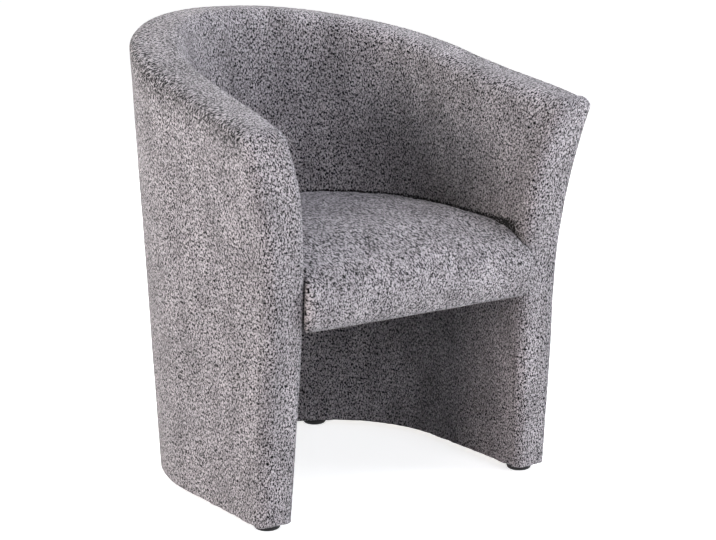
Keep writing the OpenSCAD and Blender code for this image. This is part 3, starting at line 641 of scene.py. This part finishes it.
front_finish = looped_cloth("boucle_front", front_loop)
for side, mirrored in (("right", False), ("left", True)):
    bm = sewn(lay_cloth(len(strip_columns) - 1, len(strip_rows) - 1, strip_place))
    if mirrored:
        bmesh.ops.scale(bm, vec=(-1, 1, 1), verts=bm.verts)
        bmesh.ops.reverse_faces(bm, faces=bm.faces)
    strip = smooth_pad("arm_front_" + side, bm)
    lie(strip, strip_lump, loop_relief, hem_wave)
    dress(strip, front_finish, "cover_front", "arm_front_cover_" + side, "arm_front_foam_" + side)

# The seat: a timber frame with webbing, a block of foam and a foam roll on its front rail,
# all in one cover that is turned in and stapled underneath. It is pushed in between the
# arms, follows the inside of the wall and stands proud of the arm fronts in a full roll.
seat_gap, seat_slack = 0.5 * mm, 0.8 * mm
seat_proud = 18 * mm
seat_loop = (1.9 * mm, 7 * mm, 2.8 * mm)
roll_low = (37 * mm, 35 * mm)
roll_high_from, roll_high_depth = 375.6 * mm, 150 * mm
edge_high, edge_deep = 15 * mm, 9 * mm
seat_corner = 9 * mm
front_cells, side_cells, back_cells = 25, 26, 46
seat_bulge, bulge_along = 10 * mm, (11 * mm, 2 * mm)
roll_middle = (seat_under + roll_low[0] + roll_high_from) / 2
roll_front = -arm_reach(roll_middle) - seat_proud + round_centre_y


def quarter(deep, risen):
    """How far a quarter round of that depth has drawn back after a share of its height."""
    return deep * (1 - sqrt(max(0, 1 - risen * risen)))


def roll_back(z):
    """How far the front roll has drawn back at a height."""
    if z < seat_under + roll_low[0]:
        return quarter(roll_low[1], (seat_under + roll_low[0] - z) / roll_low[0])
    return quarter(roll_high_depth, max(0, z - roll_high_from) / (seat_top - roll_high_from))


def seat_outline(z, inset, bulge=0):
    """The seat's outline at a height, from the middle of its front round to the right and
    back. In front of the arms it may bulge sideways."""
    edge = quarter(edge_deep, max(0, z - seat_top + edge_high) / edge_high)
    depth = wall_depth(z) + seat_gap + edge + inset
    y = roll_front + roll_back(z) + inset
    near, far = right_wall(0, z, depth), right_wall(1, z, depth)
    r = seat_corner
    start = (y + r - near.y) / (far.y - near.y)
    corner = (near + (far - near) * start).x - r
    half = [Vector((corner * i / front_cells, y, z)) for i in range(front_cells)]
    half += [Vector((corner + r * sin(a), y + r * (1 - cos(a)), z))
             for a in (0, pi / 8, pi / 4, 3 * pi / 8)]
    half += [near + (far - near) * (start + (1 - start) * i / side_cells)
             for i in range(side_cells)]
    half += [right_wall(1 + i / back_cells, z, depth) for i in range(back_cells)]
    arm_front = right_wall(0, z, 0).y
    for p in half:
        if p.x > corner:
            p.x += bulge * share(p.y - arm_front, *bulge_along)
    back = right_wall(2, z, depth)
    return half + [back] + [Vector((-p.x, p.y, p.z)) for p in reversed(half[1:])]


def seat_middle(outline):
    return Vector((0, (outline[0].y + outline[len(outline) // 2].y) / 2, outline[0].z))


start_crown = 5 * mm
side_levels = [seat_under + roll_low[0] * x for x in (0, 0.06, 0.15, 0.3, 0.5, 0.75, 1)]
side_levels += [roll_high_from + (seat_top - roll_high_from) * x
                for x in (0, 0.14, 0.28, 0.42, 0.55, 0.67, 0.78, 0.87, 0.94, 0.98, 1)]
side_rings = [seat_outline(z, seat_slack, seat_bulge) for z in side_levels]
centre = seat_middle(side_rings[-1])
crown_rings = [[p.lerp(centre, x) + Vector((0, 0, start_crown * (1 - (1 - x) ** 2)))
                for p in side_rings[-1]]
               for x in (0.04, 0.12, 0.25, 0.4, 0.6, 0.8, 0.97)]
seat_rings = side_rings + crown_rings


def seat_place(i, j):
    return seat_rings[j][i % len(seat_rings[j])]


seat_voxel = 5 * mm
bm = sewn(lay_cloth(len(seat_rings[0]), len(seat_rings) - 1, seat_place))
bmesh.ops.holes_fill(bm, edges=[e for e in bm.edges if e.is_boundary])
bmesh.ops.recalc_face_normals(bm, faces=bm.faces)
seat = as_piece("seat_pad", bm)
worked(seat, "REMESH", mode="VOXEL", voxel_size=seat_voxel)


def seat_room(p):
    """How far a point of the seat is from the wall's inside, and which way the wall lies."""
    t = wall_depth(p.z)
    if p.y < round_centre_y:
        inner = right_wall(max(0, 1 + (p.y - round_centre_y) / arm_reach(p.z)), p.z, t)
        return inner.x - abs(p.x), Vector((copysign(1, p.x), 0, 0))
    out = Vector((p.x, p.y - round_centre_y, 0))
    far = hypot(out.x / (back_half(p.z) - t), out.y / (back_reach(p.z) - t))
    return out.length * (1 / max(far, 0.01) - 1), out.normalized()


# The remesh and the smoothing round the lower edge too much, so behind the front roll it is
# drawn down and out again over the rails.
smoothing_rounds = 3
sharp_high, sharp_from, turned = 12 * mm, 50 * mm, 0.4
bm = bmesh.new()
bm.from_mesh(seat.data)
for again in range(smoothing_rounds):
    bmesh.ops.smooth_vert(bm, verts=bm.verts, factor=0.5,
                          use_axis_x=True, use_axis_y=True, use_axis_z=True)
bm.normal_update()
lower_edge = [v for v in bm.verts
              if v.co.z < seat_under + sharp_high and v.co.y > roll_front + sharp_from]
for v, out in [(v, v.normal.copy()) for v in lower_edge]:
    room, way = seat_room(v.co)
    if out.z < -turned:
        v.co.z = seat_under
    if hypot(out.x, out.y) > turned:
        v.co += way * (room - seat_gap - seat_slack)
bm.to_mesh(seat.data)
bm.free()

free_high, free_low = (420 * mm, 445 * mm), (3 * mm, 23 * mm)
free_front, front_freedom = (45 * mm, 15 * mm), 0.5
top_room, front_room = 35 * mm, 20 * mm


def seat_freedom(p):
    """The seat swells on its top and its front roll, and not where it lies against the wall."""
    room = seat_room(p)[0]
    top = share(p.z, *free_high) * share(room, 0, top_room)
    front = share(p.y - roll_front, *free_front) * share(room, 0, front_room)
    return max(top, front_freedom * front * share(p.z - seat_under, *free_low))


cloth_steps, cloth_quality, cloth_mass, air_pressure = 20, 4, 0.3, 4


def stuff(piece, swell, freedom):
    """Blows the cover up as cloth over its filling. freedom says from 0 to 1 how far each point
    may follow, and swell is the most that it moves."""
    mesh = piece.data
    free = [freedom(v.co) for v in mesh.vertices]
    start = [v.co.copy() for v in mesh.vertices]
    held = piece.vertex_groups.new(name="held")
    held.add([i for i, x in enumerate(free) if x <= 0], 1, "REPLACE")
    cloth = piece.modifiers.new("Cloth", "CLOTH")
    cloth.settings.quality = cloth_quality
    cloth.settings.mass = cloth_mass
    cloth.settings.use_pressure = True
    cloth.settings.uniform_pressure_force = air_pressure
    cloth.settings.effector_weights.gravity = 0
    cloth.settings.vertex_group_mass = "held"
    cloth.point_cache.frame_end = cloth_steps
    for picture in range(1, cloth_steps + 1):
        scene.frame_set(picture)
    seen = piece.evaluated_get(bpy.context.evaluated_depsgraph_get())
    blown = [v.co.copy() for v in seen.data.vertices]
    piece.modifiers.clear()
    piece.vertex_groups.clear()
    scene.frame_set(1)
    for v, old, new, x in zip(mesh.vertices, start, blown, free):
        move = (new - old) * x
        if move.length > swell:
            move *= swell / move.length
        v.co = old + move


seat_swell, seat_lump = 9 * mm, 0.8 * mm
stuff(seat, seat_swell, seat_freedom)
lie(seat, seat_lump, loop_relief)

cavity_side, cavity_overlap = cloth_thick + 0.4 * mm, 0.2 * mm
rail_clear, hem_front = seat_corner + 0.6 * mm, 4 * mm
rails_from, rails_to = seat_under + 1.4 * mm, 375.4 * mm
below_seat = seat_under - 20 * mm


def cavity(low, high, inset, front):
    """The room inside the cover that the seat's timber frame takes, for cutting out."""
    bm = bmesh.new()
    ring = [Vector((p.x, max(p.y, front), low)) for p in seat_outline(seat_under, inset)]
    base = bm.faces.new([bm.verts.new(p) for p in ring])
    grown = bmesh.ops.extrude_face_region(bm, geom=[base])
    raised = [g for g in grown["geom"] if isinstance(g, bmesh.types.BMVert)]
    bmesh.ops.translate(bm, vec=(0, 0, high - low), verts=raised)
    return as_piece("cavity", sewn(bm))


frame_front = roll_front + roll_back(seat_under) + rail_clear
for hollow in (cavity(rails_from, rails_to, cavity_side, frame_front),
               cavity(below_seat, rails_from + cavity_overlap, hem_width, frame_front + hem_front)):
    worked(seat, "BOOLEAN", operation="DIFFERENCE", solver="EXACT", object=hollow)
    bpy.data.objects.remove(hollow)

seat_finish = looped_cloth("boucle_seat", seat_loop, "Object")
dress(seat, seat_finish, "cover_seat", "seat_cover", "seat_foam", "seat_roll_foam")

# Under the seat: a black nonwoven lining, cut to the seat's shape and stapled over the
# turned edge of the cover. It hangs a little in the middle and puckers between its staples.
lining_under = 316.4 * mm
lining_thick = 0.6 * mm
lining_edge, lining_front = hem_width / 2 + 2 * mm, frame_front + 5 * mm
lining_sag = 2.5 * mm
pucker_high, pucker_length = 9.6 * mm, 25 * mm
edge_ring = [Vector((p.x, max(p.y, lining_front), lining_under))
             for p in seat_outline(seat_under, lining_edge)]
lining_middle = seat_middle(edge_ring)
lining_shares = [0, 0.02, 0.05, 0.1, 0.18, 0.28, 0.4, 0.55, 0.7, 0.85, 0.99]
lining_eye = 20 * mm


def lining_place(i, j):
    """A point of the lining, i of them round its edge and j rings in from it."""
    inwards = lining_shares[j]
    edge = edge_ring[i % len(edge_ring)]
    pucker = pucker_high * noise.noise(edge / pucker_length) * inwards * (1 - inwards) ** 6
    sag = lining_sag * (1 - (1 - inwards) ** 2)
    return edge.lerp(lining_middle, inwards) + Vector((0, 0, pucker - sag))


bm = sewn(lay_cloth(len(edge_ring), len(lining_shares) - 1, lining_place))
inmost = [e for e in bm.edges
          if e.is_boundary and (e.verts[0].co - lining_middle).length < lining_eye]
bmesh.ops.holes_fill(bm, edges=inmost)
bmesh.ops.recalc_face_normals(bm, faces=bm.faces)
if sum(f.normal.z for f in bm.faces) > 0:
    bmesh.ops.reverse_faces(bm, faces=bm.faces)
lining = as_piece("seat_lining_cloth", bm)
worked(lining, "SOLIDIFY", thickness=lining_thick, offset=-1)

# Spunbonded polypropylene: fine black fibres pressed together at a grid of small pits, matt.
fibre_clump, pit_spacing, pit_deep = 1.2 * mm, 2.5 * mm, 0.3 * mm
lining_finish, tree, shader = finish_of("spunbond_black", Roughness=0.85)
place = add(tree, "TexCoord")
fibres = add(tree, "TexNoise", {"Vector": place.outputs["Object"]},
             {"Scale": 1 / fibre_clump, "Detail": 4, "Roughness": 0.7})
felt = add(tree, "Mix", {0: fibres.outputs["Fac"]},
           {6: linear("#0d0d0e"), 7: linear("#2b2b2d")}, data_type="RGBA")
tree.links.new(felt.outputs[2], shader.inputs["Base Color"])
pits = add(tree, "TexVoronoi", {"Vector": place.outputs["Object"]},
           {"Scale": 1 / pit_spacing, "Randomness": 0.1})
press = add(tree, "Bump", {"Height": pits.outputs["Distance"]},
            {"Strength": 0.5, "Distance": pit_deep})
tree.links.new(press.outputs["Normal"], shader.inputs["Normal"])
dress(lining, lining_finish, "lining", "seat_lining")

# The webbing: elastic furniture webbing, 50 mm wide, five bands each way over the seat frame.
# The five bands of one way are one sheet, as long as all of them together.
stripe_pitch, fluff, rib_high = 25.133 * mm, 1.5 * mm, 0.4 * mm
wave_pitch = pi / 10

# Rubber threads covered in polypropylene yarn, woven in black and brown stripes: dull, ribbed
# and a little fluffy. At scale 1, the bands of a wave lie wave_pitch metres apart.
webbing_finish, tree, shader = finish_of("elastic_webbing", Roughness=0.9)
place = add(tree, "TexCoord")
rib = add(tree, "TexWave", {"Vector": place.outputs["Object"]},
          {"Scale": wave_pitch / stripe_pitch, "Distortion": 0.4})
weave = add(tree, "TexNoise", {"Vector": place.outputs["Object"]},
            {"Scale": 1 / fluff, "Detail": 3})
stripe = add(tree, "Mix", {0: rib.outputs["Fac"]},
             {6: linear("#2a2320"), 7: linear("#7a6450")}, data_type="RGBA")
wear_and_shade = add(tree, "Mix", {0: weave.outputs["Fac"], 6: stripe.outputs[2]},
           {7: linear("#4d4038")}, data_type="RGBA")
tree.links.new(wear_and_shade.outputs[2], shader.inputs["Base Color"])
ribs = add(tree, "Bump", {"Height": rib.outputs["Fac"]}, {"Strength": 0.6, "Distance": rib_high})
tree.links.new(ribs.outputs["Normal"], shader.inputs["Normal"])
for name, length in (("webbing_across", 1.839), ("webbing_lengthwise", 2.066)):
    bm = bmesh.new()
    bm.from_mesh(frame["nodes"][name].data)
    bmesh.ops.remove_doubles(bm, verts=bm.verts, dist=sewing)
    bmesh.ops.dissolve_limit(bm, angle_limit=radians(2), verts=bm.verts, edges=bm.edges)
    bands = as_piece(name + "_bands", bm)
    bands.data.shade_flat()
    dress(bands, webbing_finish, "webbing", name)

# The glides: four round feet turned of black plastic, 12 mm high, each held up by one screw
# in a recess. The lower edge is well rounded, and has gone a little dull.
glide_r, glide_high, glide_round = 21 * mm, 12 * mm, 5 * mm
glide_recess_r, glide_recess_high, glide_hole_r = 7.2 * mm, 6 * mm, 2.1 * mm
glide_clear, glide_chamfer = 0.2 * mm, 0.8 * mm
glide_top = glide_high - glide_clear
glide_profile = [(glide_hole_r, glide_top), (glide_r - glide_chamfer, glide_top),
                 (glide_r, glide_top - glide_chamfer)]
glide_profile += [(glide_r - glide_round * (1 - cos(a)), glide_round * (1 - sin(a)))
                  for a in (0, pi / 10, pi / 5, 3 * pi / 10, 2 * pi / 5, pi / 2)]
glide_profile += [(glide_recess_r + glide_chamfer, 0), (glide_recess_r, glide_chamfer),
                  (glide_recess_r, glide_recess_high), (glide_hole_r, glide_recess_high)]

# Moulded polypropylene: near black, with the fine grain of its mould and a broken gloss.
mould_grain, grain_deep = 0.8 * mm, 0.1 * mm
glide_finish, tree, shader = finish_of("moulded_plastic_black", Specular_IOR_Level=0.3)
place = add(tree, "TexCoord")
grain = add(tree, "TexNoise", {"Vector": place.outputs["Object"]},
            {"Scale": 1 / mould_grain, "Detail": 3})
dull = add(tree, "MapRange", {"Value": grain.outputs["Fac"]}, {"To Min": 0.42, "To Max": 0.62})
tree.links.new(dull.outputs["Result"], shader.inputs["Roughness"])
shade = add(tree, "Mix", {0: grain.outputs["Fac"]},
            {6: linear("#070708"), 7: linear("#141416")}, data_type="RGBA")
tree.links.new(shade.outputs[2], shader.inputs["Base Color"])
pores = add(tree, "Bump", {"Height": grain.outputs["Fac"]},
            {"Strength": 0.25, "Distance": grain_deep})
tree.links.new(pores.outputs["Normal"], shader.inputs["Normal"])
for end in ("front", "back"):
    for side in ("left", "right"):
        name = "foot_" + end + "_" + side
        low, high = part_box(name)
        middle = (low + high) / 2
        bm = bmesh.new()
        points = [bm.verts.new((r, 0, z)) for r, z in glide_profile]
        edges = [bm.edges.new(pair) for pair in zip(points, points[1:] + points[:1])]
        bmesh.ops.spin(bm, geom=points + edges, axis=(0, 0, 1), cent=(0, 0, 0), steps=48,
                       angle=2 * pi, use_merge=True)
        bmesh.ops.recalc_face_normals(bm, faces=bm.faces)
        bmesh.ops.translate(bm, vec=(middle.x, middle.y, 0), verts=bm.verts)
        glide = as_piece("glide_" + end + "_" + side, bm)
        dress(glide, glide_finish, "glide", name)

# The frame: birch plywood for the base plate, the seat bearer, the top rail and the front
# and back rails of the seat, sawn pine for the posts, studs and side rails, and hardboard
# bent round them. Its glue faces and cut edges stay as they left the saw.

# Birch plywood: peeled veneers glued crosswise and sawn, with pale, close grain on the faces
# and light and dark plies at the cut edges.
ply_thick, grain_wide, grain_long, nap_high = 1.5 * mm, 2.5 * mm, 60 * mm, 0.2 * mm
plywood, tree, shader = finish_of("birch_plywood", Roughness=0.6)
place = add(tree, "TexCoord")
stack = add(tree, "Mapping", {"Vector": place.outputs["Object"]}, {"Scale": (0, 0, 1)})
plies = add(tree, "TexWave", {"Vector": stack.outputs["Vector"]},
            {"Scale": wave_pitch / (2 * ply_thick), "Distortion": 0.2},
            bands_direction="Z", wave_profile="TRI")
fibre = add(tree, "Mapping", {"Vector": place.outputs["Object"]},
            {"Scale": (1 / grain_long, 1 / grain_wide, 1 / grain_wide)})
figure = add(tree, "TexNoise", {"Vector": fibre.outputs["Vector"]},
             {"Scale": 1, "Detail": 4, "Roughness": 0.6})
ply_tone = add(tree, "Mix", {0: plies.outputs["Fac"]},
               {6: linear("#c9a877"), 7: linear("#e2c79a")}, data_type="RGBA")
ply_figure = add(tree, "Mix", {0: figure.outputs["Fac"], 6: ply_tone.outputs[2]},
                 {7: linear("#b89362")}, data_type="RGBA")
tree.links.new(ply_figure.outputs[2], shader.inputs["Base Color"])
nap = add(tree, "Bump", {"Height": figure.outputs["Fac"]}, {"Strength": 0.3, "Distance": nap_high})
tree.links.new(nap.outputs["Normal"], shader.inputs["Normal"])

# Sawn pine: yellow wood with brown year rings, drawn out along it, and the saw's furrows.
ring_wide, ring_long, saw_deep = 6 * mm, 150 * mm, 0.3 * mm
pine, tree, shader = finish_of("sawn_pine", Roughness=0.7)
place = add(tree, "TexCoord")
fibre = add(tree, "Mapping", {"Vector": place.outputs["Object"]},
            {"Scale": (1 / ring_wide, 1 / ring_wide, 1 / ring_long)})
rings = add(tree, "TexWave", {"Vector": fibre.outputs["Vector"]},
            {"Scale": 0.35, "Distortion": 3, "Detail": 2, "Detail Scale": 1.2}, bands_direction="X")
pine_tone = add(tree, "Mix", {0: rings.outputs["Fac"]},
                {6: linear("#e3c790"), 7: linear("#c2965a")}, data_type="RGBA")
tree.links.new(pine_tone.outputs[2], shader.inputs["Base Color"])
saw = add(tree, "Bump", {"Height": rings.outputs["Fac"]}, {"Strength": 0.3, "Distance": saw_deep})
tree.links.new(saw.outputs["Normal"], shader.inputs["Normal"])

# Hardboard: wood fibre pressed to a brown, mottled and slightly shiny skin.
chip_size, chip_deep = 3 * mm, 0.1 * mm
hardboard, tree, shader = finish_of("hardboard", Roughness=0.55)
place = add(tree, "TexCoord")
chips = add(tree, "TexNoise", {"Vector": place.outputs["Object"]},
            {"Scale": 1 / chip_size, "Detail": 5, "Roughness": 0.7})
board_tone = add(tree, "Mix", {0: chips.outputs["Fac"]},
                 {6: linear("#4f3522"), 7: linear("#8a6542")}, data_type="RGBA")
tree.links.new(board_tone.outputs[2], shader.inputs["Base Color"])
felted = add(tree, "Bump", {"Height": chips.outputs["Fac"]},
             {"Strength": 0.2, "Distance": chip_deep})
tree.links.new(felted.outputs["Normal"], shader.inputs["Normal"])

# The fixings: zinc plated bolts, washers, tee nuts, glide screws and staples, and yellow
# passivated wood screws. Both are bright metal with the faint clouding of the plating bath.
bath_cloud = 2 * mm
finishes = {"plywood": plywood, "timber": pine, "hardboard": hardboard}
for name, slot_name, roughness, dark, pale in (
        ("zinc_plate", "zinc", 0.35, "#a9adb3", "#d3d6da"),
        ("yellow_zinc_plate", "yellow_zinc", 0.38, "#b98f3e", "#dcc27a")):
    finishes[slot_name], tree, shader = finish_of(name, Metallic=1, Roughness=roughness)
    place = add(tree, "TexCoord")
    bath = add(tree, "TexNoise", {"Vector": place.outputs["Object"]},
               {"Scale": 1 / bath_cloud, "Detail": 3})
    cloud = add(tree, "Mix", {0: bath.outputs["Fac"]}, {6: linear(dark), 7: linear(pale)},
                data_type="RGBA")
    tree.links.new(cloud.outputs[2], shader.inputs["Base Color"])

for subpart in frame["record"]["subparts"]:
    if subpart["material_slot"] in finishes:
        for slot in frame["nodes"][subpart["node"]].material_slots:
            slot.material = finishes[subpart["material_slot"]]

# The studio: a white paper floor that runs out of the picture on all sides, and seven
# softboxes on a ring round the chair, some warm and some cool, with none right above it.
def watched(tree):
    """Is 1 for what the camera, a mirror or a glass sees, and 0 for what lights the chair."""
    path = add(tree, "LightPath")
    seen = path.outputs["Is Camera Ray"]
    for ray in ("Is Glossy Ray", "Is Transmission Ray"):
        seen = add(tree, "Math", {0: seen, 1: path.outputs[ray]}, operation="MAXIMUM").outputs[0]
    return seen


floor_half = 30
floor_glow = {"From Min": 0.9, "From Max": 2.6, "To Min": 0.76, "To Max": 1}
floor_mesh = bpy.data.meshes.new("studio_floor")
bm = bmesh.new()
bmesh.ops.create_grid(bm, x_segments=1, y_segments=1, size=floor_half)
bm.to_mesh(floor_mesh)
bm.free()
floor = bpy.data.objects.new("studio_floor", floor_mesh)
scene.collection.objects.link(floor)

# Matt white paper. What the camera sees of it gets whiter away from the chair, until it is as
# white as the background, and the chair's shadow stays on it.
paper, tree, shader = finish_of("studio_paper", Base_Color=linear("#e3e3e3"), Roughness=0.9,
                                Specular_IOR_Level=0)
place = add(tree, "TexCoord")
from_chair = add(tree, "VectorMath", {0: place.outputs["Object"]}, operation="LENGTH")
fade = add(tree, "MapRange", {"Value": from_chair.outputs["Value"]}, floor_glow)
glow = add(tree, "Emission", {"Strength": fade.outputs["Result"]}, {"Color": (1, 1, 1, 1)})
both = add(tree, "AddShader", {0: shader.outputs[0], 1: glow.outputs[0]})
shown = add(tree, "MixShader", {0: watched(tree), 1: shader.outputs[0], 2: both.outputs[0]})
tree.links.new(shown.outputs[0], tree.nodes["Material Output"].inputs["Surface"])
floor_mesh.materials.append(paper)

world_light = 0.02
world = bpy.data.worlds.new("studio")
scene.world = world
world.use_nodes = True
tree = world.node_tree
dim = tree.nodes["Background"]
dim.inputs["Color"].default_value = (1, 1, 1, 1)
dim.inputs["Strength"].default_value = world_light
white = add(tree, "Background", values={"Color": (1, 1, 1, 1), "Strength": 1})
shown = add(tree, "MixShader", {0: watched(tree), 1: dim.outputs[0], 2: white.outputs[0]})
tree.links.new(shown.outputs[0], tree.nodes["World Output"].inputs["Surface"])

ring, aim = 3.2, Vector((0, 0, 0.42))
for name, around, up, size, watts in (
        ("low_left", -75, 6, 1.1, (50.0, 44.7, 43.0)),
        ("left", -100, 20, 1.6, (31.6, 36.3, 40.0)),
        ("behind_left", -150, 38, 1.6, (66.3, 63.2, 59.0)),
        ("front", 0, 20, 1.6, (42.8, 43.8, 47.3)),
        ("low_right", 50, 6, 1.1, (57.0, 60.1, 61.5)),
        ("high_right", 50, 58, 1.6, (61.7, 64.9, 73.2)),
        ("behind_right", 140, 25, 1.6, (40, 40, 40))):
    lamp = bpy.data.lights.new(name, "AREA")
    lamp.shape = "SQUARE"
    lamp.size = size
    lamp.energy = max(watts)
    lamp.color = [w / max(watts) for w in watts]
    softbox = bpy.data.objects.new(name, lamp)
    turn, lift = radians(around), radians(up)
    away = Vector((sin(turn) * cos(lift), -cos(turn) * cos(lift), sin(lift)))
    softbox.location = aim + away * ring
    softbox.rotation_euler = (-away).to_track_quat("-Z", "Y").to_euler()
    scene.collection.objects.link(softbox)

scene.view_settings.view_transform = "Standard"
